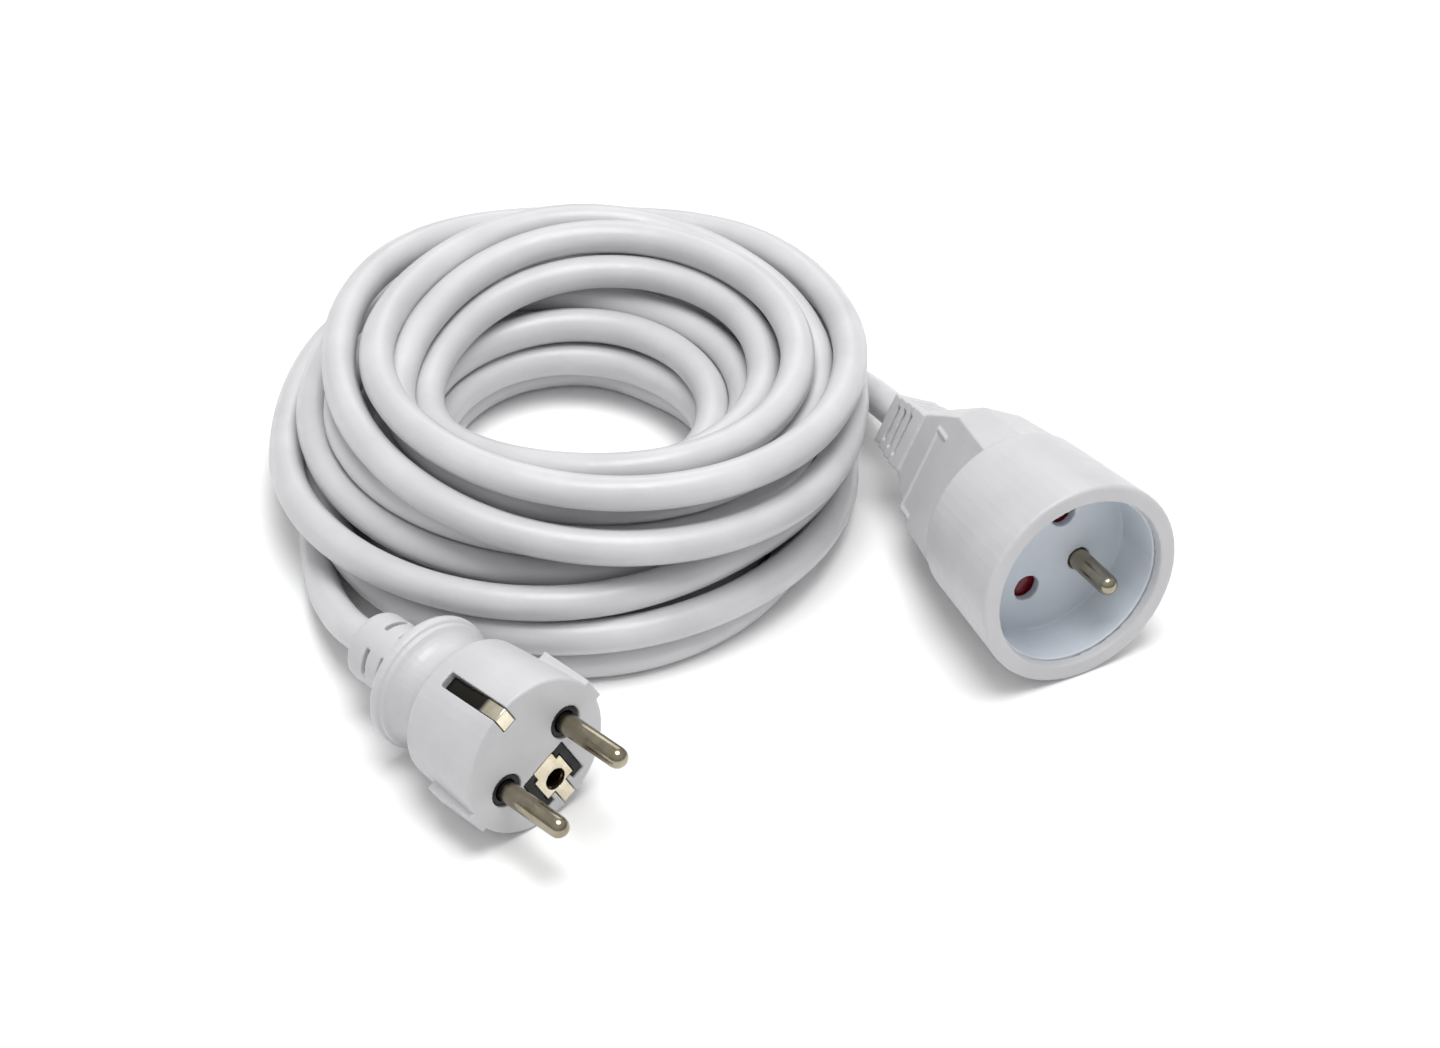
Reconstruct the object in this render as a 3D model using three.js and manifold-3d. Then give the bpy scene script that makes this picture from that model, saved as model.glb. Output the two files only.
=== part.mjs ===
// A three-core indoor extension cord: an earthed round plug, five metres of white cable wound into a
// loose coil, and one in-line socket with a child shutter. Millimetres, +Z up, resting on z = 0.
import * as THREE from 'three';
import { ConvexGeometry } from 'three/addons/geometries/ConvexGeometry.js';
import { mergeVertices } from 'three/addons/utils/BufferGeometryUtils.js';
import Module from 'manifold-3d';

const wasm = await Module();
wasm.setup();

// ---------------------------------------------------------------- driving dimensions

const GAP = 0.3;                       // clearance between touching pieces
const CABLE_R = 4.0;                   // 8 mm round jacket
const CORE_R = 1.4;                    // insulated conductor
const BORE_R = CABLE_R + GAP;

const PIN_R = 2.4;                     // 4.8 mm pins, as the standards ask
const PIN_OFFSET = 9.5;                // live and neutral are 19 mm apart
const EARTH_OFFSET = -10;              // the earth contact lies 10 mm below the pin line
const PIN_LENGTH = 19;                 // how far a plug pin stands out of the face

const FACE_R = 18.3;                   // plug barrel at its face
const BARREL_BACK_R = 16.7;
const BARREL_LENGTH = 23.5;
const FLANGE_R = 15.6;                 // finger flange behind the neck
const FLANGE_FRONT = -34.4;
const FLANGE_BACK = -37.4;
const NECK_R = 12.1;                   // narrowest part of the neck, and the radius of its hollow
const NECK_HOLLOW = 5.4;
const PLUG_RELIEF_R = 8.2;
const PLUG_END = -55;                  // where the cable leaves the plug's strain relief
const SLOT_HALF = 1.9;                 // side channels of the earth clips
const SLOT_LENGTH = 18.5;
const SLOT_FLOOR = 14.5;

const CUP_R = 24.5;                    // socket at its mouth
const CUP_BACK_R = 21.6;
const CUP_LENGTH = 30;
const RECESS_R = 20;
const RECESS_DEPTH = 15;
const FLOOR_BACK = -17.2;               // back of the recess floor
const HOLE_R = 3.1;
const SHUTTER_TRAVEL = 6.6;
const CARRIER_FRONT = -23;
const CARRIER_BACK = -34;
const WEDGE_BACK = -64.5;
const SOCKET_END = -76.5;              // where the cable leaves the socket's strain relief

// Where the two ends lie: each one's front centre, the way it faces, its tilt and its roll.
const PLUG_PLACE = { at: [-126.4, -28.4, 18.32], azimuth: 74.4, tilt: 4.3, roll: 27.1 };
const SOCKET_PLACE = { at: [0, -37.4, 24.46], azimuth: 88.3, tilt: 5.5, roll: 59.5 };

// The coil is a ring that the turns of cable fill.
const COIL = { x: -72, y: 73, outer: 70, inner: 28, height: 48, corner: 12 };

// ---------------------------------------------------------------- materials

const paint = (color, roughness, metalness = 0) => (
  new THREE.MeshStandardMaterial({ color, roughness, metalness })
);
const LOOK = {
  pvc: paint(0xe4e4e6, 0.45),
  insert: paint(0xd9dde4, 0.35),
  carrier: paint(0xcfd0d2, 0.5),
  bridge: paint(0x16171b, 0.4),
  shutter: paint(0x8e1420, 0.4),
  nickel: paint(0xa89f90, 0.25, 1),
  brass: paint(0xc9b37a, 0.35, 1),
  tinned: paint(0xd8cdb4, 0.35, 1),
  steel: paint(0x9a9a9a, 0.3, 1),
  cable: paint(0xe0e1e4, 0.4),
  brown: paint(0x6b3a1e, 0.5),
  blue: paint(0x2458a8, 0.5),
  greenYellow: paint(0x9aa81e, 0.5),
};

// ---------------------------------------------------------------- solids and placing

/** A closed geometry as a solid that can be joined and cut. */
function solid(geometry) {
  geometry.deleteAttribute('normal');
  geometry.deleteAttribute('uv');
  const merged = mergeVertices(geometry, 1e-4);
  return new wasm.Manifold(new wasm.Mesh({
    numProp: 3,
    vertProperties: new Float32Array(merged.attributes.position.array),
    triVerts: new Uint32Array(merged.index.array),
  }));
}

/** A solid as a named mesh. */
function piece(name, body, material) {
  const { vertProperties, triVerts } = body.getMesh();
  const geometry = new THREE.BufferGeometry();
  geometry.setAttribute('position', new THREE.BufferAttribute(vertProperties, 3));
  geometry.setIndex(new THREE.BufferAttribute(triVerts, 1));
  const mesh = new THREE.Mesh(geometry, material);
  mesh.name = name;
  return mesh;
}

/** A box between two corners. */
function block([x0, y0, z0], [x1, y1, z1]) {
  const geometry = new THREE.BoxGeometry(x1 - x0, y1 - y0, z1 - z0);
  return solid(geometry.translate((x0 + x1) / 2, (y0 + y1) / 2, (z0 + z1) / 2));
}

/** A round rod along z at (x, y). */
function rod(radius, z0, z1, x = 0, y = 0, sides = 20) {
  const geometry = new THREE.CylinderGeometry(radius, radius, z1 - z0, sides).rotateX(Math.PI / 2);
  return solid(geometry.translate(x, y, (z0 + z1) / 2));
}

/** A profile of [radius, z] points turned about z; it runs from the back to the front. */
function turned(profile, segments = 40) {
  const points = profile.map(([radius, z]) => new THREE.Vector2(radius, z));
  return solid(new THREE.LatheGeometry(points, segments).rotateX(Math.PI / 2).rotateZ(Math.PI / segments));
}

/** Points of an arc in a profile, angles in degrees from the radius direction. */
function arc(radius, z, r, from, to, steps) {
  return Array.from({ length: steps + 1 }, (_, i) => {
    const angle = THREE.MathUtils.degToRad(from + (to - from) * i / steps);
    return [radius + r * Math.cos(angle), z + r * Math.sin(angle)];
  });
}

/** A tube of the given radius along a smooth curve through the points. */
function tube(points, radius, sides, steps) {
  const section = new THREE.Shape(Array.from({ length: sides }, (_, i) => {
    const angle = 2 * Math.PI * i / sides;
    return new THREE.Vector2(radius * Math.cos(angle), radius * Math.sin(angle));
  }));
  const extrudePath = new THREE.CatmullRomCurve3(points.map((point) => new THREE.Vector3(...point)));
  return solid(new THREE.ExtrudeGeometry(section, { steps, extrudePath, bevelEnabled: false }));
}

/** The space between two eight-sided sections, each [z, long half, flat half, side half, side flat]. */
function eightSided(sections) {
  const quarters = [[1, 1], [1, -1], [-1, 1], [-1, -1]];
  const points = sections.flatMap(([z, edge, flat, side, sideFlat]) => quarters.flatMap(([i, j]) => [
    new THREE.Vector3(i * edge, j * flat, z),
    new THREE.Vector3(i * side, j * sideFlat, z),
  ]));
  return solid(new ConvexGeometry(points));
}

/** A strip bent along [y, z] corners, thickened inwards and centred on x. */
function strip(outline, width) {
  const shape = new THREE.Shape(outline.map(([y, z]) => new THREE.Vector2(y, z)));
  const geometry = new THREE.ExtrudeGeometry(shape, { depth: width, bevelEnabled: false });
  // The outline's own axes are y and z, and the depth runs along x.
  return solid(geometry.applyMatrix4(new THREE.Matrix4().set(
    0, 0, 1, -width / 2, 1, 0, 0, 0, 0, 1, 0, 0, 0, 0, 0, 1)));
}

/** Joins every solid in the list. */
const join = (solids) => solids.reduce((all, next) => all.add(next));

/** Cuts every solid in the list out of the first. */
const cut = (body, solids) => solids.reduce((left, next) => left.subtract(next), body);

/** Axes of an end: x along the pin line, y away from the earth contact, z out of its front. */
function axesOf({ at, azimuth, tilt, roll }) {
  const [heading, rise, turn] = [azimuth, tilt, roll].map(THREE.MathUtils.degToRad);
  const front = new THREE.Vector3(
    Math.cos(heading) * Math.cos(rise), -Math.sin(heading) * Math.cos(rise), Math.sin(rise));
  const level = new THREE.Vector3(0, 0, 1).cross(front).normalize();
  const upright = front.clone().cross(level);
  const across = level.clone().multiplyScalar(Math.cos(turn)).addScaledVector(upright, Math.sin(turn));
  const up = front.clone().cross(across);
  return new THREE.Matrix4().makeBasis(across, up, front).setPosition(...at);
}

/** A group that lies where the end lies. */
function placed(place, meshes) {
  const group = new THREE.Group();
  group.applyMatrix4(axesOf(place));
  group.add(...meshes);
  return group;
}

/** Turns a point of an end's own axes into the shared axes. */
const inWorld = (place, point) => new THREE.Vector3(...point).applyMatrix4(axesOf(place)).toArray();

// ---------------------------------------------------------------- plug

/** Barrel, waisted neck, finger flange and caged strain relief, all one moulding. */
function plugOutside() {
  const profile = [
    [0, PLUG_END],
    [BORE_R + 0.6, PLUG_END],
    ...arc(PLUG_RELIEF_R - 1.7, PLUG_END + 1.7, 1.7, -90, 0, 3),
    [PLUG_RELIEF_R, FLANGE_BACK],
    ...arc(FLANGE_R - 1.1, FLANGE_BACK + 1.1, 1.1, -90, 0, 2),
    ...arc(FLANGE_R - 0.9, FLANGE_FRONT - 0.9, 0.9, 0, 90, 2),
    ...arc(NECK_R + NECK_HOLLOW, (FLANGE_FRONT - BARREL_LENGTH) / 2, NECK_HOLLOW, 239, 121, 8),
    ...arc(BARREL_BACK_R - 1.4, -BARREL_LENGTH + 1.4, 1.4, -70, 0, 3),
    ...arc(FACE_R - 0.5, -0.5, 0.5, 0, 90, 2),
    [0, 0],
  ];
  return turned(profile, 44);
}

/** The two keys beside the pins. */
const plugKeys = () => [1, -1].map((side) => {
  const inner = side * 14;
  const outer = side * 19.1;
  return block([Math.min(inner, outer), -3, -14.5], [Math.max(inner, outer), 3, 0]);
});

/** Narrow grooves that let the strain relief bend: two rows of four. */
function reliefSlots() {
  const [floor, past, half, rib] = [6.3, 9.5, 0.6, 2.7];
  const ribs = join([block([-9, -rib, -60], [9, rib, -30]), block([-rib, -9, -60], [rib, 9, -30])]);
  return [-43.5, -48.5].map((z) => {
    const ring = turned([
      [floor, z - half], [past, z - half], [past, z + half], [floor, z + half], [floor, z - half],
    ], 24);
    return ring.subtract(ribs);
  });
}

/** Hard inner block that carries the pins; its collars and clamps show on the face. */
function plugBridge(grow = 0) {
  const [back, front, radius] = [-18 - grow, -2.2 + grow, 14 + grow];
  const drum = turned([[0, back], [radius, back], [radius, front], [0, front]], 32);
  const keep = block([-16, -13.8 - grow, -19], [16, 9 + grow, 0]);
  const shown = grow ? 1 : -0.4;
  const collars = [1, -1].map((side) => rod(3.6 + grow, -4, shown, side * PIN_OFFSET, 0, 24));
  const clamps = [1, -1].flatMap((side) => {
    const at = (x0, x1, y0, y1) => block(
      [Math.min(side * x0, side * x1) - grow, y0 - grow, -4],
      [Math.max(side * x0, side * x1) + grow, y1 + grow, shown]);
    return [at(4.3, 6, -14.2, -3.6), at(3.3, 4.6, -5.5, -3.6), at(3.3, 4.6, -14.2, -12.9)];
  });
  return join([drum.intersect(keep), ...collars, ...clamps]);
}

/** A nickelled pin with a domed tip and a solid crimp end inside. */
function plugPin(side) {
  const tip = arc(0, PIN_LENGTH - PIN_R, PIN_R, 0, 90, 5).map(([radius, z]) => [Math.max(radius, 0), z]);
  tip[tip.length - 1][0] = 0;
  return turned([[0, -23], [PIN_R, -23], ...tip], 24).translate([side * PIN_OFFSET, 0, 0]);
}

/** One side earth clip: a tab on the face that turns over the edge and runs back down its channel. */
function earthClip(tabEnd) {
  const outer = [[tabEnd, -0.1], [17.4, -0.1], [17.6, -0.4], [17.2, -5], [15.7, -13], [15.5, -18]];
  const inner = [[14.9, -18], [15.1, -13], [16.5, -5], [16.8, -0.9], [tabEnd, -0.9]];
  return strip([...outer, ...inner], 2 * SLOT_HALF - 2 * GAP);
}

/** The lower clip widens into a plate with the hole for a socket's earth pin and a tab between the clamps. */
function earthPlate() {
  const clip = earthClip(6).mirror([0, 1, 0]);
  const plate = block([-3.95, -12.5, -0.9], [3.95, -5.9, -0.1]);
  const tab = block([-2.9, -6, -0.9], [2.9, -3.4, -0.1]);
  return cut(join([clip, plate, tab]), [rod(2.6, -3, 1, 0, EARTH_OFFSET, 24)]);
}

/** Split sleeve behind the earth plate, which grips a socket's earth pin. */
function earthSleeve() {
  const sleeve = rod(3.1, -16.5, -1.4, 0, EARTH_OFFSET, 20);
  const hollow = rod(2.6, -20, 0, 0, EARTH_OFFSET, 20);
  const split = block([-0.4, EARTH_OFFSET + 1, -20], [0.4, EARTH_OFFSET + 5, -5]);
  return cut(sleeve, [hollow, split]);
}

/** Strap behind the block that ties both clips and the sleeve to the earth core. */
function earthStrap() {
  const strap = block([-2.2, -13.6, -19.5], [2.2, 12, -18.7]);
  return strap.add(rod(1.7, -23, -19.2, 0, 3, 12));
}

/** The whole white moulding with room for everything it was moulded round. */
function plugMoulding() {
  const channels = [1, -1].map((side) => {
    const [near, far] = [side * SLOT_FLOOR, side * 21].sort((a, b) => a - b);
    return block([-SLOT_HALF, near, -SLOT_LENGTH], [SLOT_HALF, far, 1]);
  });
  const tabPockets = [
    block([-SLOT_HALF, 12.9, -1.2], [SLOT_HALF, 20, 1]),
    block([-SLOT_HALF, -20, -1.2], [SLOT_HALF, -12, 1]),
    block([-4.25, -12.8, -1.2], [4.25, -5.6, 1]),
    block([-3.2, -5.8, -1.2], [3.2, -3.1, 1]),
  ];
  const chamber = turned([
    [0, -33.5], [4.6, -33.5], [9.4, -28.5], [12.6, -23.8], [12.9, -17.9], [0, -17.9],
  ], 24);
  const strapRoom = block([-2.6, -14, -20], [2.6, 12.4, -17.9]);
  const sleeveRoom = rod(3.5, -17.5, 0, 0, EARTH_OFFSET, 20);
  const pinRooms = [1, -1].map((side) => rod(PIN_R + GAP, -20, 2, side * PIN_OFFSET, 0));
  const bore = rod(BORE_R, PLUG_END - 1, -33, 0, 0, 24);
  return cut(join([plugOutside(), ...plugKeys()]), [
    plugBridge(GAP), ...channels, ...tabPockets, chamber, strapRoom, sleeveRoom, ...pinRooms, bore,
    ...reliefSlots(),
  ]);
}

/** The bridge with its own holes for pins and sleeve. */
function plugBridgeBored() {
  const holes = [1, -1].map((side) => rod(PIN_R + GAP, -20, 2, side * PIN_OFFSET, 0));
  const sleeveHole = rod(3.1 + GAP, -20, 2, 0, EARTH_OFFSET, 20);
  return cut(plugBridge(), [...holes, sleeveHole]);
}

/** The three cores from the jacket's end to their terminals. */
function plugCores() {
  const start = (x, y) => [x, y, -33];
  const toPin = (side) => [
    start(side * 1.7, -1), [side * 2.6, -0.8, -31.2], [side * 6.9, -0.3, -27.4],
    [side * PIN_OFFSET, 0, -25], [side * PIN_OFFSET, 0, -23.4],
  ];
  const routes = {
    plug_core_brown: toPin(-1),
    plug_core_blue: toPin(1),
    plug_core_green_yellow: [start(0, 1.9), [0, 2.2, -31], [0, 2.8, -27], [0, 3, -25], [0, 3, -23.4]],
  };
  const colours = [LOOK.brown, LOOK.blue, LOOK.greenYellow];
  return Object.entries(routes).map(([name, route], i) => piece(name, tube(route, CORE_R, 8, 6), colours[i]));
}

function plug() {
  return placed(PLUG_PLACE, [
    piece('plug_moulding', plugMoulding(), LOOK.pvc),
    piece('plug_pin_bridge', plugBridgeBored(), LOOK.bridge),
    piece('plug_pin_left', plugPin(-1), LOOK.nickel),
    piece('plug_pin_right', plugPin(1), LOOK.nickel),
    piece('plug_earth_clip_upper', earthClip(13.2), LOOK.tinned),
    piece('plug_earth_plate_lower', earthPlate(), LOOK.tinned),
    piece('plug_earth_sleeve', earthSleeve(), LOOK.brass),
    piece('plug_earth_strap', earthStrap(), LOOK.brass),
    ...plugCores(),
  ]);
}

// ---------------------------------------------------------------- socket

/** Half height of the socket's broad flats at a distance behind the mouth. */
const flatAt = (z) => 6.5 + 0.27 * (z - WEDGE_BACK);

/** Cup, wedge and stepped strain relief as one outside. */
function socketOutside() {
  const cup = turned([
    [0, -36], [15.6, -36], [CUP_BACK_R, -CUP_LENGTH],
    ...arc(CUP_R - 0.8, -0.8, 0.8, 0, 90, 2), [0, 0],
  ], 56);
  const shoulder = [-CUP_LENGTH, 14.4, flatAt(-CUP_LENGTH), 19.8, 8];
  const waist = [-48, 14.1, flatAt(-48), 17.8, 5.5];
  const tail = [WEDGE_BACK, 6.9, flatAt(WEDGE_BACK), 8.2, 4.5];
  return join([cup, eightSided([shoulder, waist]), eightSided([waist, tail]), ...reliefBlocks()]);
}

/** The strain relief is a stack of square blocks that shrink towards the cable. */
function reliefBlocks() {
  return [0, 1, 2, 3].map((step) => {
    const half = 7.4 - 0.42 * step;
    const front = WEDGE_BACK - 3 * step;
    return block([-half, -half, front - 3], [half, half, front + (step ? 0 : 1.5)]);
  });
}

/** Grooves across every face of the relief, one at each step. */
function reliefGrooves() {
  return [0, 1, 2].flatMap((step) => {
    const half = 7.4 - 0.42 * step;
    const z = WEDGE_BACK - 3 * step - 2.4;
    const long = half - 2.2;
    return [1, -1].flatMap((side) => {
      const [near, far] = [side * (half - 1.5), side * 9].sort((a, b) => a - b);
      return [
        block([-long, near, z - 0.6], [long, far, z + 0.4]),
        block([near, -long, z - 0.6], [far, long, z + 0.4]),
      ];
    });
  });
}

/** Raised frame on the upper flat, open towards the mouth. */
function labelFrame() {
  const slope = Math.atan(0.27);
  const bar = (x0, x1, z0, z1) => block([x0, -1, z0], [x1, 0.45, z1]);
  const frame = join([bar(-12.6, 8.6, -0.45, 0.45), bar(-12.6, -11.7, 0, 5.6), bar(7.7, 8.6, 0, 5.6)]);
  return frame.rotate([-THREE.MathUtils.radToDeg(slope), 0, 0]).translate([0, flatAt(-54), -54]);
}

/** Recess cup with its floor, pin holes and the cage that guides the shutter. */
function socketInsert() {
  const outer = RECESS_R + 1.1;
  const cup = turned([
    [0, FLOOR_BACK], [outer, FLOOR_BACK], [outer, -2.5], [RECESS_R, -2.5], [RECESS_R, -RECESS_DEPTH],
    [0, -RECESS_DEPTH],
  ], 48);
  const cage = block([-15.5, -6, -22.6], [15.5, 14.6, FLOOR_BACK + 0.5]);
  const room = block([-14, -4, -23], [14, 13.4, FLOOR_BACK]);
  const holes = [1, -1].map((side) => rod(HOLE_R, -19, 0, side * PIN_OFFSET, 0, 24));
  const earthHole = rod(PIN_R + GAP, -19, 0, 0, EARTH_OFFSET);
  return cut(cup.add(cage.subtract(room)), [...holes, earthHole]);
}

/** Sliding shutter: one bar with a ramp behind each pin hole. */
function childShutter() {
  const bar = block([-13.6, -3.5, -22.2], [13.6, 3.5, FLOOR_BACK - GAP]);
  const ramps = [1, -1].map((side) => block([-3.4, -7, 0], [3.4, 7, 4])
    .rotate([-20, 0, 0])
    .translate([side * PIN_OFFSET, 0.9, FLOOR_BACK - 0.9]));
  return cut(bar, ramps);
}

/** Coil spring between the shutter and the far wall of its cage. */
function shutterSpring() {
  const turns = 5;
  const [from, to] = [3.5 + GAP + 0.2, 13.4 - GAP - 0.2];
  const steps = turns * 9;
  const points = Array.from({ length: steps + 1 }, (_, i) => {
    const angle = 2 * Math.PI * turns * i / steps;
    return [1.3 * Math.cos(angle), from + (to - from) * i / steps, -20.3 + 1.3 * Math.sin(angle)];
  });
  return tube(points, 0.2, 5, steps);
}

/** Block behind the shutter that holds the three contacts. */
function contactCarrier() {
  const body = block([-14, -13.6, CARRIER_BACK], [14, 9, CARRIER_FRONT]);
  const pockets = [1, -1].map((side) => rod(4, -36, -22, side * PIN_OFFSET, 0, 24));
  return cut(body, [...pockets, rod(PIN_R + GAP, -36, -22, 0, EARTH_OFFSET)]);
}

/** Split brass sleeve that grips a plug pin, with its crimp barrel behind. */
function pinContact(side) {
  const sleeve = rod(3.5, -34.4, -23.4, 0, 0, 20).subtract(rod(2.6, -33.4, -22, 0, 0, 20));
  const split = block([-0.5, -5, -32], [0.5, 5, -22]);
  return sleeve.subtract(split).add(rod(1.9, -38.5, -34.2, 0, 0, 12)).translate([side * PIN_OFFSET, 0, 0]);
}

/** Earth pin: domed tip in the recess, a collar behind the floor and a crimp end. */
function socketEarthPin() {
  const front = -0.9;
  const tip = arc(0, front - PIN_R, PIN_R, 0, 90, 5);
  tip[tip.length - 1][0] = 0;
  const crimp = [[0, -37.5], [1.8, -37.5], [1.8, CARRIER_BACK], [PIN_R, CARRIER_BACK]];
  const collar = [[PIN_R, -20], [3.4, -20], [3.4, -18.4], [PIN_R, -18.4]];
  const profile = [...crimp, ...collar, ...tip];
  return turned(profile, 24).translate([0, EARTH_OFFSET, 0]);
}

/** The white moulding of the socket, with room for the insert, contacts, cores and cable. */
function socketMoulding() {
  const pocket = turned([
    [0, FLOOR_BACK - GAP], [RECESS_R + 1.4, FLOOR_BACK - GAP], [RECESS_R + 1.4, -2.2],
    [RECESS_R + 0.2, -2.2], [RECESS_R + 0.9, 1], [0, 1],
  ], 48);
  const cageRoom = block([-15.8, -13.9, -23], [15.8, 14.9, FLOOR_BACK]);
  const carrierRoom = block([-14.3, -13.9, CARRIER_BACK - GAP], [14.3, 9.3, -22.5]);
  const sections = [
    [CARRIER_BACK, 12, 12.9, 13, 6],
    [-38.5, 11.6, 12.3, 12.8, 6],
    [-46, 9.5, 8.4, 11, 5],
    [-58, 4, 4, 4.6, 2],
  ];
  const chamber = join([0, 1, 2].map((i) => eightSided(sections.slice(i, i + 2))));
  const bore = rod(BORE_R, SOCKET_END - 1, -57, 0, 0, 24);
  return cut(socketOutside().add(labelFrame()), [
    pocket, cageRoom, carrierRoom, chamber, bore, ...reliefGrooves(),
  ]);
}

/** The three cores from the jacket's end to the socket's contacts. */
function socketCores() {
  const start = (x, y) => [x, y, -57.2];
  const toContact = (side) => [
    start(side * 1.7, 1), [side * 2.2, 1, -55], [side * 6.6, 0.6, -46],
    [side * PIN_OFFSET, 0, -41], [side * PIN_OFFSET, 0, -38.9],
  ];
  const routes = {
    socket_core_brown: toContact(-1),
    socket_core_blue: toContact(1),
    socket_core_green_yellow: [
      start(0, -1.9), [0, -2.4, -55], [0, -5, -48], [0, -9.4, -40.5], [0, EARTH_OFFSET, -37.9],
    ],
  };
  const colours = [LOOK.brown, LOOK.blue, LOOK.greenYellow];
  return Object.entries(routes).map(([name, route], i) => piece(name, tube(route, CORE_R, 8, 8), colours[i]));
}

function socket() {
  return placed(SOCKET_PLACE, [
    piece('socket_moulding', socketMoulding(), LOOK.pvc),
    piece('socket_recess_insert', socketInsert(), LOOK.insert),
    piece('child_shutter', childShutter(), LOOK.shutter),
    piece('shutter_spring', shutterSpring(), LOOK.steel),
    piece('contact_carrier', contactCarrier(), LOOK.carrier),
    piece('pin_contact_left', pinContact(-1), LOOK.brass),
    piece('pin_contact_right', pinContact(1), LOOK.brass),
    piece('socket_earth_pin', socketEarthPin(), LOOK.nickel),
    ...socketCores(),
  ]);
}

// ---------------------------------------------------------------- cable

/** The coil's outer shape, or the same grown all round to trim what meets it. */
function coilRing(grow = 0) {
  const { outer, inner, height, corner } = COIL;
  const r = corner + grow;
  const ring = turned([
    ...arc(outer - corner, height - corner, r, 0, 90, 4),
    ...arc(inner + corner, height - corner, r, 90, 180, 4),
    ...arc(inner + corner, corner, r, 180, 270, 4),
    ...arc(outer - corner, corner, r, 270, 360, 4),
    [outer + grow, height - corner],
  ], 48);
  return ring.translate([COIL.x, COIL.y, 0]);
}

/** A tail from inside an end's strain relief to the coil, trimmed where it reaches the ring. */
function cableTail(place, jacketEnd, exit, route, steps) {
  const inside = [jacketEnd, (jacketEnd + exit) / 2, exit, exit - 5].map((z) => inWorld(place, [0, 0, z]));
  return tube([...inside, ...route], CABLE_R, 12, steps).subtract(coilRing(GAP));
}

/** From the plug, down to the ground and in under the coil's left side. */
const PLUG_TAIL = [[-142.6, 38, 9.6], [-141, 50, 5.4], [-138, 61, 4.3], [-133, 72, 4.3]];

/** From the socket, down to the ground and in under the coil's right-hand back. */
const SOCKET_TAIL = [
  [-2.1, 50, 14.6], [-1, 60, 10.4], [0.4, 70.2, 6.9], [0.3, 81.6, 4.8], [-4, 93.8, 4.3], [-12, 102, 4.3],
];

const group = new THREE.Group();
group.add(
  plug(),
  socket(),
  piece('cable_tail_plug', cableTail(PLUG_PLACE, -34, PLUG_END, PLUG_TAIL, 18), LOOK.cable),
  piece('cable_coil', coilRing(), LOOK.cable),
  piece('cable_tail_socket', cableTail(SOCKET_PLACE, -58.5, SOCKET_END, SOCKET_TAIL, 20), LOOK.cable),
);

export default group;
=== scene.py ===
"""A white extension cord lying on a floor: plug, coiled cord and socket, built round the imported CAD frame.

Everything is in the CAD frame, in metres unless a comment says mm. The floor is z = 0, and the
socket's mouth looks nearly along -Y, tilted up a little.
"""

import math

import bpy
import numpy as np
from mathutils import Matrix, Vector


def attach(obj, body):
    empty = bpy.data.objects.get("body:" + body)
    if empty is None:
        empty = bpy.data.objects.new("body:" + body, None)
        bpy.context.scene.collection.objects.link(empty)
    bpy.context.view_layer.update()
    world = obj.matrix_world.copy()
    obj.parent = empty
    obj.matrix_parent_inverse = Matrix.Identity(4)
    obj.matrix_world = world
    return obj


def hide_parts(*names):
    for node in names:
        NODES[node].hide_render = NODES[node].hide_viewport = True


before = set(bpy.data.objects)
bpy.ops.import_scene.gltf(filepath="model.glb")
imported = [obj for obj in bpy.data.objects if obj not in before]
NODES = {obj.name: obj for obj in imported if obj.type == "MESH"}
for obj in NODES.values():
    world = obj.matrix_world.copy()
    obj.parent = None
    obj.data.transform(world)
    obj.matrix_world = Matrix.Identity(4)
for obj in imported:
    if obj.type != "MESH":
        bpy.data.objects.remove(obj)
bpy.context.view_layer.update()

MM = 0.001
CORD_DIAMETER = 8.0 * MM
CORE_PITCH = 70 * MM
BODY = "cord_set"


# ---------------------------------------------------------------- place of the plug


def facing(azimuth, tilt):
    """The way an end's front looks: azimuth degrees from +X towards -Y, tilted up."""
    heading = math.radians(azimuth)
    rise = math.radians(tilt)
    level = math.cos(rise)
    return Vector((math.cos(heading) * level, -math.sin(heading) * level, math.sin(rise)))


PLUG_AT = Vector((-126.4, -28.4, 18.32)) * MM
PLUG_FRONT = facing(74.4, 4.3)

# ---------------------------------------------------------------- camera

CAMERA_AT = (-0.3921, -0.6476, 0.6361)
CAMERA_LOOKS_AT = (-0.0478, 0.0429, 0.0)
CAMERA_LENS = 108.7
SENSOR_WIDTH = 36


def add_camera():
    """A long lens that looks down on the cord from the front left."""
    data = bpy.data.cameras.new("camera")
    data.lens = CAMERA_LENS
    data.sensor_width = SENSOR_WIDTH
    camera = bpy.data.objects.new("camera", data)
    camera.location = CAMERA_AT
    towards = Vector(CAMERA_LOOKS_AT) - Vector(CAMERA_AT)
    camera.rotation_euler = towards.to_track_quat("-Z", "Y").to_euler()
    bpy.context.collection.objects.link(camera)
    bpy.context.scene.camera = camera


# ---------------------------------------------------------------- cord

COIL_CENTRE = (-70.2, 72.0)
COIL_START_ANGLE = 153.5
STATIONS_PER_TURN = 8

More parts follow.
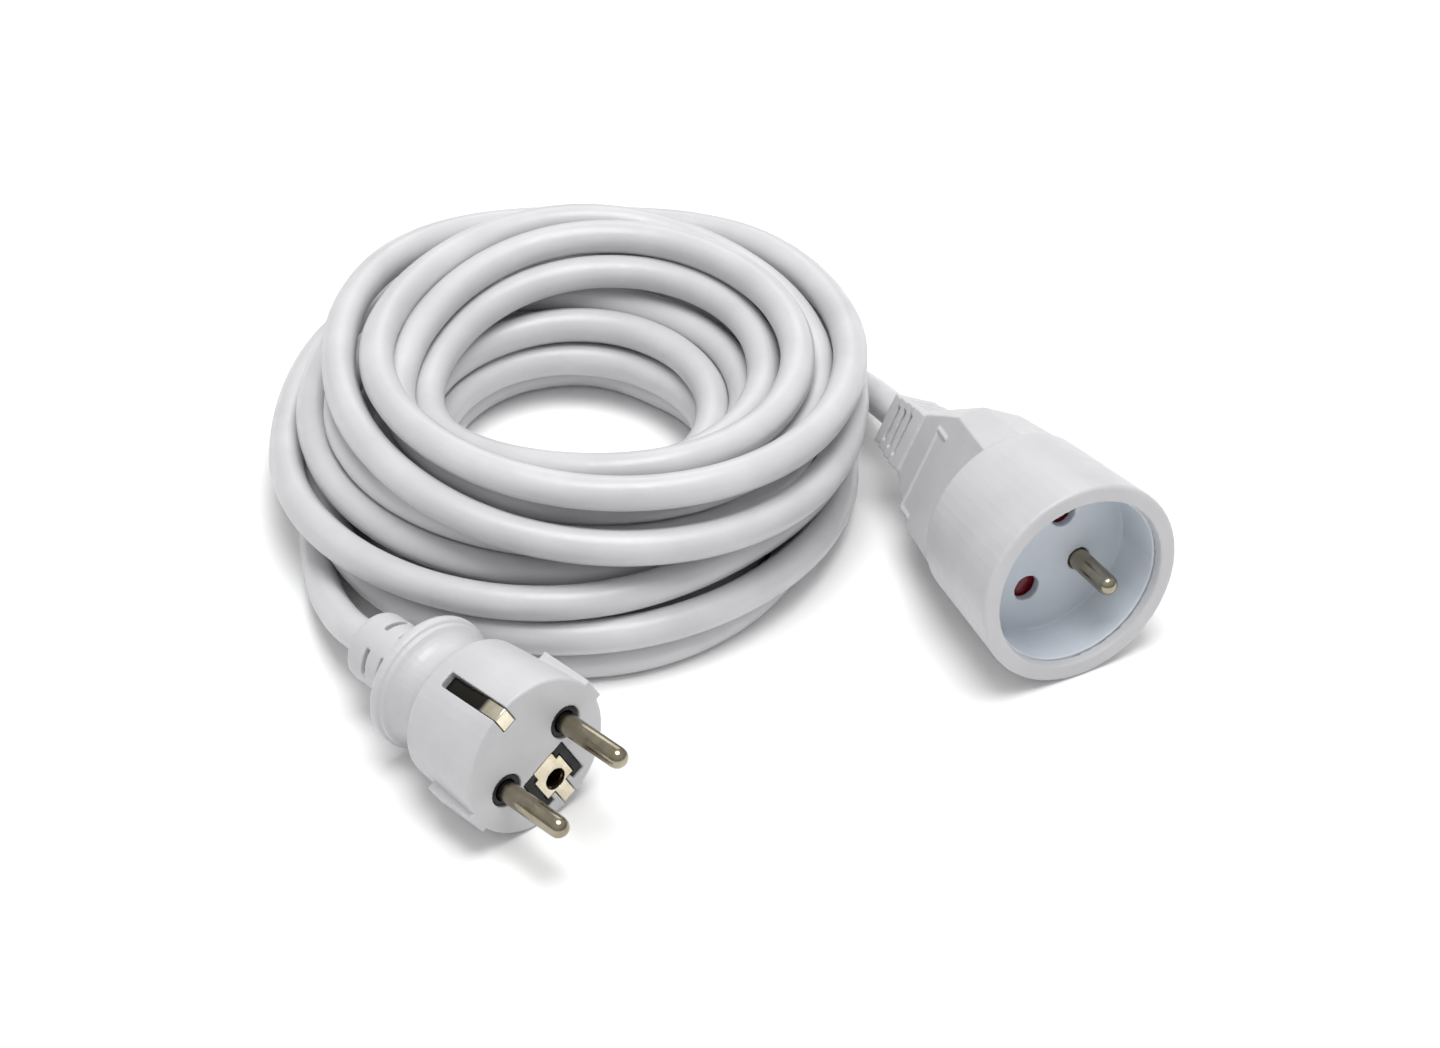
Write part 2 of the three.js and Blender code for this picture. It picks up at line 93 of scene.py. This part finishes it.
# One row per turn, clockwise from the coil's left: radius and height in mm at eight stations 45
# degrees apart. None leaves a station to the line between its neighbours.
TURNS = [
    [(58.5, 4), None, (55, 4), None, (52, 4), (62, 4), (71, 4), (60, 4)],
    [(50, 4), None, (62, 4), None, (60.5, 6), (65.5, 11), (71, 12), (66.5, 9.5)],
    [(57.5, 12), (64, 5.5), (70, 4), None, (62, 14), (57.5, 18), (68.5, 20), (69, 18.5)],
    [(66, 12), (72, 11), (72, 11.5), None, (53, 12), (50, 17), (58.5, 21), (58.5, 22)],
    [(60.3, 20), (66, 17), (67.5, 18), (66, 18), (62, 26), (68, 29), (63.5, 33), (55, 34)],
    [(52.5, 33), (63, 33.5), (65, 26), (70, 25.5), (61.5, 35), (64, 41), (56.8, 43), (47.5, 42)],
    [(44, 37.5), (48, 35), (60, 33.5), (59, 28), (55.5, 29), (55, 33), (51, 36), (45, 35)],
    [(38, 30), (40.5, 34), (48, 36), (50, 36), (51, 37.5), (52, 39.5), (48.5, 38.5), (39, 33.5)],
    [(35, 23), (35.5, 27.5), (41.5, 30), (47, 29.5), (43, 29.5), (42, 32), (39, 32), (36.5, 26)],
    [(35.5, 17.5), (35.5, 18), (36, 19.5), (34.5, 19), (33, 20), (32, 20), (32, 20), (33, 17)],
    [(34.5, 11), (34.5, 11), (32, 11.5), (31, 11), (32, 12), (31.5, 12), (31, 12), (32, 9)],
    [(34.5, 4), (37.5, 4), (39, 4), (36, 4), (34.5, 4), (34.5, 4), (37, 4), (39.5, 4)],
    [(40.5, 4), None, (47, 4), None, (42, 4), (52, 5), (62.5, 4.5), (54, 7)],
    [(50, 12), None, (58, 12.5), None, (52, 20), (56, 24), (56, 28), (56, 27.5)],
    [(54, 26), (50, 23), (43.5, 20), (41, 20.5), (38.2, 21.5), (38, 23.5), (43.5, 24.5), (45, 21)],
    [(43, 14), (48, 11), (57, 11.5), (66, 8)],
]

# Where it isn't coiled, the cord follows these points, in mm: out of the plug and down to the
# floor, and from the floor up to the socket.
PLUG_RUN = [
    (-136.9, 9.1, 15.3),
    (-141.15, 24.4, 14.2),
    (-141.8, 27.7, 13.6),
    (-142.5, 31.9, 12.4),
    (-142.6, 39.4, 9.3),
    (-141.9, 47.5, 6),
    (-140.1, 57.2, 4.2),
    (-135.6, 70.6, 4),
    (-130.1, 83.4, 4),
]
SOCKET_RUN = [
    (-2.0, 85.6, 5.0),
    (-0.6, 76, 6.2),
    (-0.2, 67, 8.4),
    (-0.8, 59, 11.2),
    (-1.6, 51, 14.1),
    (-2.1, 44, 16.3),
    (-2.26, 38.71, 17.13),
    (-1.73, 20.8, 18.85),
]

# Degrees between the coil's points, and how many of its first points the plug's run stands in for.
COIL_STEP = 3.0
COIL_POINTS_SKIPPED = 3

# How many coil points are averaged on each side when the turns are eased.
EASE_REACH = 8
POINT_STEP = 4 * MM
SPACING_PASSES = 3

# Settling: points that stay put at each end, number of rounds, and how many points along the cord
# count as neighbours, which don't push each other.
END_POINTS_HELD = 7
SETTLE_STEPS = 240
NEIGHBOURS_APART = 5

# Near pairs of points are looked for every few rounds, out to this distance, and this many points at once.
PAIRS_EVERY = 8
PAIR_REACH = 1.4 * CORD_DIAMETER
POINTS_AT_ONCE = 200

# Homing is the share of the way back to the drawn route, which fades out. Crowding holds back a point
# that touches several others. Link pull is the share of a link's stretch that each end takes up.
HOMING = 0.03
CROWDING = 0.6
LINK_PULL = 0.45

# Each smoothing: how many points away its neighbours are, and the share of the move made.
SMOOTHINGS = ((1, 0.3), (3, 0.03))


def coil_points():
    """The turns, as a loop round the coil's centre with radius and height eased between the stations."""
    angles = []
    values = []
    for turn, row in enumerate(TURNS):
        for station, value in enumerate(row):
            if value is not None:
                angles.append(360.0 * turn + 360.0 * station / STATIONS_PER_TURN)
                values.append(value)
    fine = np.arange(angles[0], angles[-1] + COIL_STEP / 30, COIL_STEP)
    radius, height = (eased(np.array(angles), np.array(values, float)[:, k], fine) for k in (0, 1))
    bearing = np.radians(COIL_START_ANGLE - fine)
    return np.column_stack([
        COIL_CENTRE[0] + radius * np.cos(bearing),
        COIL_CENTRE[1] + radius * np.sin(bearing),
        height,
    ])


def eased(known, values, at):
    """Values between known ones on straight lines, then averaged twice over about a station."""
    line = np.interp(at, known, values)
    window = np.hanning(2 * EASE_REACH + 1)
    window /= window.sum()
    for _ in range(2):
        line = np.convolve(np.pad(line, EASE_REACH, mode="edge"), window, mode="valid")
    return line


def evenly_spaced(points, step):
    """The same route with its points about a step apart and its corners lightly rounded."""
    for _ in range(SPACING_PASSES):
        along = np.concatenate([[0], np.cumsum(np.linalg.norm(np.diff(points, axis=0), axis=1))])
        count = int(round(along[-1] / step))
        at = np.linspace(0, along[-1], count + 1)
        points = np.column_stack([np.interp(at, along, points[:, k]) for k in range(3)])
        inner = (points[:-2] + 2 * points[1:-1] + points[2:]) / 4
        points = np.vstack([points[:1], inner, points[-1:]])
    return points


def close_pairs(points, reach):
    """Index pairs of points that are near each other and not neighbours along the cord."""
    firsts = []
    seconds = []
    for start in range(0, len(points), POINTS_AT_ONCE):
        block = points[start:start + POINTS_AT_ONCE]
        gap = np.linalg.norm(block[:, None] - points[None], axis=2)
        first, second = np.nonzero(gap < reach)
        first = first + start
        keep = second - first >= NEIGHBOURS_APART
        firsts.append(first[keep])
        seconds.append(second[keep])
    return np.concatenate(firsts), np.concatenate(seconds)


def smoothed(points, reach):
    """Each point moved onto the curve through its neighbours, one and two reaches away on both sides."""
    middle = np.arange(2 * reach, len(points) - 2 * reach)
    smooth = points.copy()
    smooth[middle] = (
        4 * points[middle - reach] + 4 * points[middle + reach]
        - points[middle - 2 * reach] - points[middle + 2 * reach]
    ) / 6
    return smooth


def push_apart(points, first, second):
    """Moves each of two overlapping points by half of the overlap, or less where it touches many."""
    apart = points[first] - points[second]
    gap = np.linalg.norm(apart, axis=1)
    push = apart * (np.clip(CORD_DIAMETER - gap, 0, None) / gap)[:, None] * 0.5
    touching = (gap < CORD_DIAMETER).astype(float)
    count = np.bincount(first, touching, len(points))
    count += np.bincount(second, touching, len(points))
    share = np.maximum(1, CROWDING * count)
    for axis in range(3):
        moved = np.bincount(first, push[:, axis], len(points))
        moved -= np.bincount(second, push[:, axis], len(points))
        points[:, axis] += moved / share


def restore_links(points, lengths):
    """Pulls the points back towards the distances that they had along the cord."""
    link = np.diff(points, axis=0)
    now = np.linalg.norm(link, axis=1)
    pull = link * ((now - lengths) / now)[:, None] * LINK_PULL
    points[:-1] += pull
    points[1:] -= pull


def settled(route):
    """Moves the route a little, so that strands rest against each other and on the floor.

    Some overlap is left: centre lines end up to 0.15 mm closer than a diameter.
    """
    points = route.copy()
    lengths = np.linalg.norm(np.diff(route, axis=0), axis=1)
    for step in range(SETTLE_STEPS):
        if step % PAIRS_EVERY == 0:
            first, second = close_pairs(points, PAIR_REACH)
        points += HOMING * (1 - step / SETTLE_STEPS) * (route - points)
        for reach, share in SMOOTHINGS:
            points += share * (smoothed(points, reach) - points)
        for _ in range(2):
            push_apart(points, first, second)
            points[:, 2] = np.maximum(points[:, 2], CORD_DIAMETER / 2)
            restore_links(points, lengths)
        points[:END_POINTS_HELD] = route[:END_POINTS_HELD]
        points[-END_POINTS_HELD:] = route[-END_POINTS_HELD:]
    return points


def tube_along(points):
    """A capped round tube of the cord's thickness along the points, as a mesh."""
    data = bpy.data.curves.new("cord", "CURVE")
    data.dimensions = "3D"
    data.bevel_depth = CORD_DIAMETER / 2
    data.bevel_resolution = 4
    data.resolution_u = 3
    data.use_fill_caps = True
    spline = data.splines.new("NURBS")
    spline.points.add(len(points) - 1)
    spline.points.foreach_set("co", np.column_stack([points, np.ones(len(points))]).ravel())
    spline.order_u = 4
    spline.use_endpoint_u = True
    drawn = bpy.data.objects.new("cord_line", data)
    bpy.context.collection.objects.link(drawn)
    graph = bpy.context.evaluated_depsgraph_get()
    tube = bpy.data.meshes.new_from_object(drawn.evaluated_get(graph))
    bpy.data.objects.remove(drawn)
    return tube


def add_cord(plug_pieces):
    """The cord as one tube; the plug's pieces that it is given are not used."""
    coil = coil_points()[COIL_POINTS_SKIPPED:]
    route = np.vstack([PLUG_RUN, coil, SOCKET_RUN]) * MM
    points = settled(evenly_spaced(route, POINT_STEP))
    cord = bpy.data.objects.new("cord", tube_along(points))
    bpy.context.collection.objects.link(cord)
    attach(cord, BODY)
    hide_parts("cable_tail_plug", "cable_coil", "cable_tail_socket")
    length = float(np.linalg.norm(np.diff(points, axis=0), axis=1).sum())
    cord.data.materials.append(sheath_plastic(length))


# ---------------------------------------------------------------- materials

# Noise scales, in waves per metre: broad shade, handling marks, dull patches and the finest grain.
BLOTCHES = 60
SMEARS = 35
SPECKS = 420
RUBS = 260
PEEL = 180
GRAIN = 1400
TARNISH = 120
SCRATCHES = 900

GRIME = (0.36, 0.345, 0.31)
# Near-black painted shade for the upper clip down its slot.
PAINTED_SLOT_SHADE = (0.035, 0.033, 0.028)
TIN_DARK = (0.55, 0.46, 0.31)
TIN_LIGHT = (0.82, 0.76, 0.61)

# Painted shade: the upper clip darkens between these depths behind the plug's face, standing in for the
# shade down its slot.
CLIP_PALE_DEPTH = 4.8 * MM
CLIP_DARK_DEPTH = 6.2 * MM

CORES = 3
CORE_SWELL = 0.06 * MM
SCRATCH_DEPTH = 0.003 * MM

# Places of the colour sockets on a mix node.
MIX_FACTOR = 0
MIX_FIRST = 6
MIX_SECOND = 7
MIX_RESULT = 2


def shader_of(tree):
    return next(node for node in tree.nodes if node.type == "BSDF_PRINCIPLED")


def new_material(name):
    material = bpy.data.materials.new(name)
    material.use_nodes = True
    return material, material.node_tree, shader_of(material.node_tree)


def linked(tree, kind, inputs=(), **settings):
    """Adds a node, sets its properties and its inputs: a value is set, an output socket is linked."""
    node = tree.nodes.new(kind)
    for key, value in settings.items():
        setattr(node, key, value)
    for key, value in dict(inputs).items():
        if isinstance(value, bpy.types.NodeSocket):
            tree.links.new(value, node.inputs[key])
        else:
            node.inputs[key].default_value = value
    return node


def object_place(tree):
    return linked(tree, "ShaderNodeTexCoord").outputs["Object"]


def noise(tree, scale, detail=3.0, roughness=0.5):
    """Cloudy noise from 0 to 1 that stays with the object."""
    inputs = {"Vector": object_place(tree), "Scale": scale, "Detail": detail, "Roughness": roughness}
    return linked(tree, "ShaderNodeTexNoise", inputs).outputs["Fac"]


def calculated(tree, operation, *values):
    """The result of a sum on one or two values."""
    return linked(tree, "ShaderNodeMath", enumerate(values), operation=operation).outputs[0]


def mixed(tree, fraction, first, second):
    """A colour between two others, each of them three numbers or another node's output."""
    ends = [(*end, 1) if isinstance(end, tuple) else end for end in (first, second)]
    inputs = {MIX_FACTOR: fraction, MIX_FIRST: ends[0], MIX_SECOND: ends[1]}
    return linked(tree, "ShaderNodeMix", inputs, data_type="RGBA").outputs[MIX_RESULT]


def ramp(tree, value, low, high, start, end):
    """A number or colour that goes from start to end as value goes from low to high."""
    inputs = {"Value": value, "From Min": low, "From Max": high}
    fraction = linked(tree, "ShaderNodeMapRange", inputs).outputs["Result"]
    if isinstance(start, tuple):
        return mixed(tree, fraction, start, end)
    inputs = {"Value": fraction, "To Min": start, "To Max": end}
    return linked(tree, "ShaderNodeMapRange", inputs).outputs["Result"]


def bump(tree, shader, height, distance, under=None):
    """Raises the surface by a height, on top of the relief under it if there is one."""
    inputs = {"Height": height, "Distance": distance}
    if under is not None:
        inputs["Normal"] = under
    relief = linked(tree, "ShaderNodeBump", inputs).outputs["Normal"]
    tree.links.new(relief, shader.inputs["Normal"])
    return relief


def moulded_plastic(name, dark, light, gloss=0.36, grime=0.0):
    """Soft moulded plastic: faint blotches of shade, a fine orange-peel skin and patches rubbed duller.

    Gloss is its roughness before the rubs, and grime is how strongly greyish specks and handling
    marks show.
    """
    material, tree, shader = new_material(name)
    colour = ramp(tree, noise(tree, BLOTCHES, 4), 0.3, 0.7, dark, light)
    if grime:
        specks = ramp(tree, noise(tree, SPECKS, 8, roughness=0.8), 0.66, 0.74, 0.0, grime)
        smears = ramp(tree, noise(tree, SMEARS, 7, roughness=0.75), 0.6, 0.75, 0.0, 0.6 * grime)
        colour = mixed(tree, calculated(tree, "MAXIMUM", specks, smears), colour, GRIME)
    tree.links.new(colour, shader.inputs["Base Color"])
    rubs = noise(tree, RUBS, 6, roughness=0.7)
    wear = ramp(tree, rubs, 0.35, 0.7, gloss - 0.06, gloss + 0.12)
    tree.links.new(wear, shader.inputs["Roughness"])
    grain = bump(tree, shader, noise(tree, GRAIN, 2), 0.03 * MM)
    bump(tree, shader, noise(tree, PEEL, 3), 0.12 * MM, under=grain)
    return material


def sheath_plastic(length):
    """The cord's extruded sheath: moulded plastic with a faint helical swell over the three cores."""
    material = moulded_plastic(
        "cord_sheath", (0.545, 0.545, 0.56), (0.615, 0.615, 0.628), 0.34, grime=0.3)
    tree = material.node_tree
    shader = shader_of(tree)
    skin = shader.inputs["Normal"].links[0].from_socket
    place = linked(tree, "ShaderNodeTexCoord").outputs["UV"]
    parts = linked(tree, "ShaderNodeSeparateXYZ", {"Vector": place})
    turns = calculated(tree, "MULTIPLY", parts.outputs["X"], length / CORE_PITCH)
    around = calculated(tree, "MULTIPLY", parts.outputs["Y"], float(CORES))
    angle = calculated(tree, "MULTIPLY", calculated(tree, "ADD", turns, around), 2 * math.pi)
    bump(tree, shader, calculated(tree, "SINE", angle), CORE_SWELL, under=skin)
    return material


def clip_metal():
    """The tinned upper clip: pale where it turns over the face, with painted shade darkening it down its
    channel.
    """
    material = metal("tinned_clip", TIN_DARK, TIN_LIGHT, 0.22)
    tree = material.node_tree
    shader = shader_of(tree)
    pale = shader.inputs["Base Color"].links[0].from_socket
    place = linked(
        tree, "ShaderNodeVectorTransform", {"Vector": object_place(tree)},
        vector_type="POINT", convert_from="OBJECT", convert_to="WORLD",
    ).outputs[0]
    along = linked(tree, "ShaderNodeVectorMath", {0: place, 1: tuple(PLUG_FRONT)}, operation="DOT_PRODUCT")
    ahead = calculated(tree, "SUBTRACT", along.outputs["Value"], PLUG_AT.dot(PLUG_FRONT))
    # Painted shade: the clip is mixed towards near-black deeper behind the face, where its slot lies in
    # shade.
    painted_shade_share = ramp(tree, ahead, -CLIP_DARK_DEPTH, -CLIP_PALE_DEPTH, 1.0, 0.0)
    tree.links.new(mixed(tree, painted_shade_share, pale, PAINTED_SLOT_SHADE), shader.inputs["Base Color"])
    return material


def metal(name, dark, light, roughness):
    """Plated metal: shade drifting between two tones, fine rubbed marks and a little tarnish."""
    material, tree, shader = new_material(name)
    shader.inputs["Metallic"].default_value = 1
    tarnish = noise(tree, TARNISH, 4, roughness=0.6)
    tree.links.new(ramp(tree, tarnish, 0.35, 0.75, light, dark), shader.inputs["Base Color"])
    marks = noise(tree, SCRATCHES, 4)
    wear = ramp(tree, marks, 0.3, 0.75, roughness - 0.05, roughness + 0.1)
    tree.links.new(wear, shader.inputs["Roughness"])
    bump(tree, shader, marks, SCRATCH_DEPTH)
    return material


MATERIALS = {
    "white_pvc": moulded_plastic(
        "white_moulding", (0.52, 0.52, 0.533), (0.575, 0.575, 0.588), 0.38, grime=0.16),
    "white_insert": moulded_plastic(
        "recess_plastic", (0.6, 0.645, 0.7), (0.67, 0.715, 0.77), 0.4, grime=0.1),
    "grey_carrier": moulded_plastic("carrier_plastic", (0.42, 0.42, 0.42), (0.5, 0.5, 0.49), 0.5),
    "black_plastic": moulded_plastic("black_bridge", (0.003, 0.003, 0.0045), (0.007, 0.007, 0.01), 0.62),
    "red_shutter": moulded_plastic("shutter_red", (0.13, 0.003, 0.007), (0.22, 0.006, 0.012), 0.3),
    "nickel_pin": metal("nickel_pin", (0.2, 0.172, 0.115), (0.4, 0.36, 0.275), 0.17),
    "tinned_brass": metal("tinned_brass", TIN_DARK, TIN_LIGHT, 0.28),
    "brass_contact": metal("brass_contact", (0.2, 0.13, 0.05), (0.42, 0.3, 0.14), 0.3),
    "spring_steel": metal("spring_steel", (0.3, 0.3, 0.31), (0.55, 0.55, 0.56), 0.3),
    "brown_core": moulded_plastic("core_brown", (0.09, 0.035, 0.015), (0.14, 0.06, 0.03)),
    "blue_core": moulded_plastic("core_blue", (0.02, 0.07, 0.3), (0.04, 0.12, 0.42)),
    "green_yellow_core": moulded_plastic("core_green_yellow", (0.1, 0.3, 0.03), (0.6, 0.55, 0.04)),
}


# ---------------------------------------------------------------- mouldings and metal bits

# Cell sizes for softening: the smaller, the crisper the edges.
PLUG_VOXEL = 0.24 * MM
SOCKET_VOXEL = 0.32 * MM
LINER_VOXEL = 0.28 * MM
SHARE_OF_FACES_KEPT = 0.3

# Widths of the broken edges.
METAL_EDGE = 0.1 * MM
BLOCK_EDGE = 0.15 * MM
SHUTTER_EDGE = 0.2 * MM
WELD_DISTANCE = 0.01 * MM


def copied(node_name, piece_name):
    """A piece that starts as a copy of a CAD node, in the same place."""
    node = NODES[node_name]
    piece = bpy.data.objects.new(piece_name, node.data.copy())
    piece.matrix_world = node.matrix_world.copy()
    bpy.context.collection.objects.link(piece)
    return piece


def applied(piece):
    """Turns a piece's modifiers into its mesh and shades it smooth."""
    graph = bpy.context.evaluated_depsgraph_get()
    mesh = bpy.data.meshes.new_from_object(piece.evaluated_get(graph))
    piece.modifiers.clear()
    piece.data = mesh
    mesh.shade_smooth()


def finished(piece, node_name, body, material):
    """Gives a piece its material, fixes it to its body and lets it stand for its CAD node."""
    piece.data.materials.clear()
    piece.data.materials.append(material)
    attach(piece, body)
    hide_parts(node_name)


def softened(node_name, piece_name, material, voxel):
    """A moulding with the soft edges of a mould: remeshed finely, relaxed, then thinned out."""
    piece = copied(node_name, piece_name)
    remesh = piece.modifiers.new("fine", "REMESH")
    remesh.mode = "VOXEL"
    remesh.voxel_size = voxel
    relax = piece.modifiers.new("relax", "SMOOTH")
    relax.factor = 0.5
    relax.iterations = 1
    thin = piece.modifiers.new("thin", "DECIMATE")
    thin.ratio = SHARE_OF_FACES_KEPT
    applied(piece)
    finished(piece, node_name, BODY, material)
    return piece


def bevelled(node_name, piece_name, material, width, body=BODY):
    """A stamped or turned piece with its sharp edges broken."""
    piece = copied(node_name, piece_name)
    weld = piece.modifiers.new("weld", "WELD")
    weld.merge_threshold = WELD_DISTANCE
    edge = piece.modifiers.new("edge", "BEVEL")
    edge.width = width
    edge.segments = 2
    edge.limit_method = "ANGLE"
    edge.angle_limit = math.radians(38)
    applied(piece)
    piece.data.set_sharp_from_angle(angle=math.radians(50))
    finished(piece, node_name, body, material)
    return piece


def add_plug():
    """The plug's finer pieces, and the CAD nodes inside it that stay as they are."""
    nickel = MATERIALS["nickel_pin"]
    finer = {"plug_moulding": softened("plug_moulding", "plug_body", MATERIALS["white_pvc"], PLUG_VOXEL)}
    for node_name, piece_name, material, width in (
        ("plug_pin_left", "pin_left", nickel, METAL_EDGE),
        ("plug_pin_right", "pin_right", nickel, METAL_EDGE),
        ("plug_pin_bridge", "black_bridge", MATERIALS["black_plastic"], BLOCK_EDGE),
        ("plug_earth_plate_lower", "earth_plate", MATERIALS["tinned_brass"], METAL_EDGE),
        ("plug_earth_clip_upper", "earth_clip", clip_metal(), METAL_EDGE),
    ):
        finer[node_name] = bevelled(node_name, piece_name, material, width)
    return [finer.get(name, node) for name, node in NODES.items() if name.startswith("plug_")]


def add_socket():
    """The socket's finer pieces: its moulding, recess, earth pin and shutter."""
    softened("socket_moulding", "socket_body", MATERIALS["white_pvc"], SOCKET_VOXEL)
    softened("socket_recess_insert", "recess_liner", MATERIALS["white_insert"], LINER_VOXEL)
    bevelled("socket_earth_pin", "earth_pin", MATERIALS["nickel_pin"], METAL_EDGE)
    bevelled("child_shutter", "shutter", MATERIALS["red_shutter"], SHUTTER_EDGE, body="shutter")


def dress_cad_nodes():
    """Gives each CAD node the procedural material of its slot."""
    for node in NODES.values():
        for place in node.material_slots:
            slot_name = place.material.name.split(".")[0] if place.material else ""
            if slot_name in MATERIALS:
                place.material = MATERIALS[slot_name]


# ---------------------------------------------------------------- floor and light

FLOOR_HALF = 3.0
FLOOR_DARK = (0.955, 0.955, 0.955)
FLOOR_LIGHT = (0.97, 0.97, 0.97)

HORIZON_STRENGTH = 0.26
OVERHEAD_STRENGTH = 0.62

# Lamps: name, place, width and power in watts. All of them point at the middle of the cord.
LAMPS = (
    ("overhead", (-0.02, -0.08, 1.5), 1.0, 18),
    ("back_rim", (0.6, 1.1, 0.8), 0.7, 2),
)
LAMPS_POINT_AT = Vector((-0.06, 0.05, 0.02))


def add_floor():
    """A plain pale floor, wide enough to fill the picture."""
    mesh = bpy.data.meshes.new("floor")
    corners = [(x * FLOOR_HALF, y * FLOOR_HALF, 0) for x, y in ((-1, -1), (1, -1), (1, 1), (-1, 1))]
    mesh.from_pydata(corners, [], [(0, 1, 2, 3)])
    floor = bpy.data.objects.new("floor", mesh)
    material, tree, shader = new_material("floor")
    shade = ramp(tree, noise(tree, 3, 4), 0.3, 0.7, FLOOR_DARK, FLOOR_LIGHT)
    tree.links.new(shade, shader.inputs["Base Color"])
    shader.inputs["Roughness"].default_value = 0.9
    shader.inputs["Specular IOR Level"].default_value = 0.1
    mesh.materials.append(material)
    bpy.context.collection.objects.link(floor)


def add_lamp(name, at, width, power):
    data = bpy.data.lights.new(name, "AREA")
    data.shape = "DISK"
    data.size = width
    data.energy = power
    lamp = bpy.data.objects.new(name, data)
    lamp.location = at
    lamp.rotation_euler = (LAMPS_POINT_AT - Vector(at)).to_track_quat("-Z", "Y").to_euler()
    bpy.context.collection.objects.link(lamp)


def add_sky():
    """Even studio light from all round: brightest overhead and dimmer towards the horizon."""
    world = bpy.data.worlds.new("studio")
    bpy.context.scene.world = world
    world.use_nodes = True
    tree = world.node_tree
    direction = linked(tree, "ShaderNodeTexCoord").outputs["Generated"]
    upward = linked(tree, "ShaderNodeSeparateXYZ", {"Vector": direction}).outputs["Z"]
    brightness = ramp(tree, upward, 0.0, 0.6, HORIZON_STRENGTH, OVERHEAD_STRENGTH)
    tree.links.new(brightness, tree.nodes["Background"].inputs["Strength"])
    tree.nodes["Background"].inputs["Color"].default_value = (1, 1, 1, 1)


def light_the_studio():
    add_sky()
    for lamp in LAMPS:
        add_lamp(*lamp)
    bpy.context.scene.view_settings.view_transform = "Standard"


# ---------------------------------------------------------------- the scene

add_camera()
add_cord(add_plug())
add_socket()
dress_cad_nodes()
add_floor()
light_the_studio()
